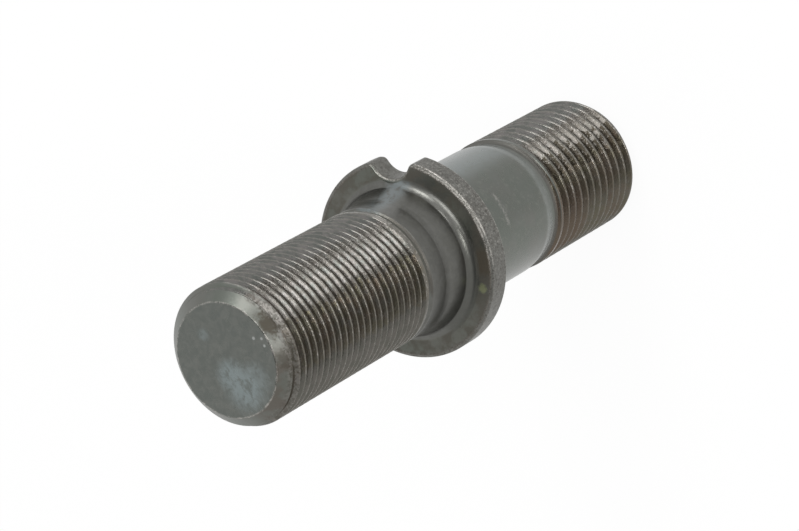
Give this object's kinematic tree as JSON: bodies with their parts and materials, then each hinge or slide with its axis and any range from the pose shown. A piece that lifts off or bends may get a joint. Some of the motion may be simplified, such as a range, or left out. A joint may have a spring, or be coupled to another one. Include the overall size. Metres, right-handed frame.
{
  "type": "wheel stud",
  "caption": "Double-ended wheel stud with a long fine thread for the wheel nut, a notched round collar, a plain shank and a short coarser thread for the hub.",
  "frame": {"origin": "centre of the flat end of the hub thread, which the stud stands on", "axes": "+Z along the stud from the hub end to the wheel end, +X through the middle of the collar's notch"},
  "size_m": [0.0313, 0.0318, 0.1],
  "materials": {
    "phosphated_steel": "dark grey phosphate coat, satin, worn bright on thread crests and edges"
  },
  "bodies": {
    "root": {"wheel_stud": "phosphated_steel"}
  },
  "joints": []
}
